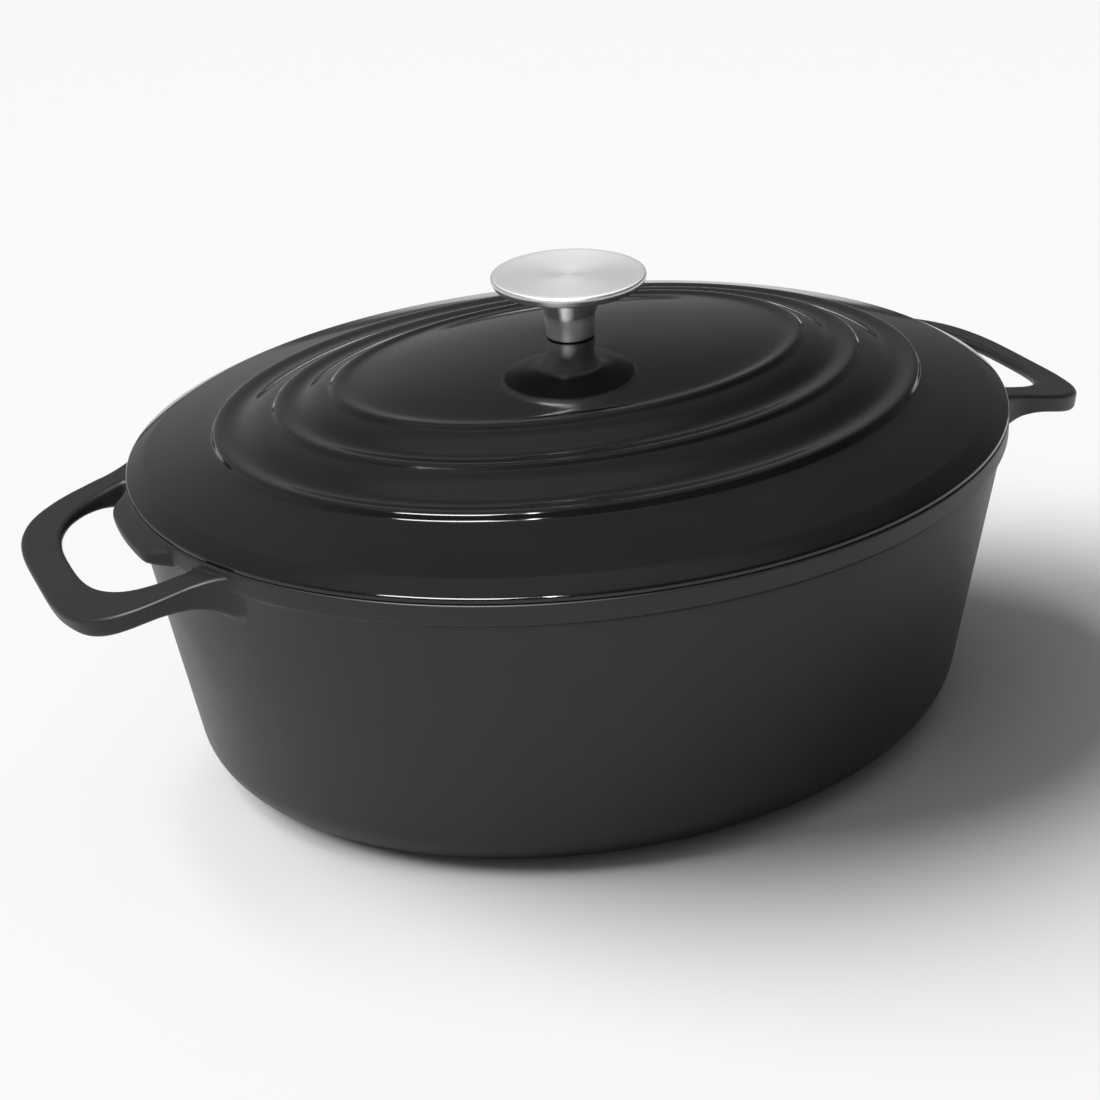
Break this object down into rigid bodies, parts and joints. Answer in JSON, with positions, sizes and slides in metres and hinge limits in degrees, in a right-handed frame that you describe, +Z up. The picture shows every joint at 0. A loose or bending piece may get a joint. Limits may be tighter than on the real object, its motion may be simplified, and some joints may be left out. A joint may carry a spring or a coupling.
{
  "type": "oval dutch oven",
  "caption": "Oval cast iron dutch oven: tapered pot with two loop handles, and a stepped dome lid with a turned steel knob.",
  "frame": {"origin": "middle of the flat base", "axes": "+X along the oval through the right handle, +Z up through the knob"},
  "size_m": [0.407, 0.2828, 0.1708],
  "materials": {
    "pot_enamel": "satin black enamel on cast iron",
    "lid_enamel": "gloss black enamel on cast iron",
    "knob_steel": "fine brushed stainless steel",
    "fastener_steel": "plain stainless steel"
  },
  "bodies": {
    "pot": {"pot_body": "pot_enamel"},
    "lid_assembly": {"lid": "lid_enamel", "knob": "knob_steel", "knob_screw": "fastener_steel", "flat_washer": "fastener_steel", "spring_washer": "fastener_steel"}
  },
  "joints": [
    {"name": "lid_lift", "type": "slide", "parent": "pot", "child": "lid_assembly", "axis": [0, 0, 1], "range_m": [0, 0.2]}
  ]
}
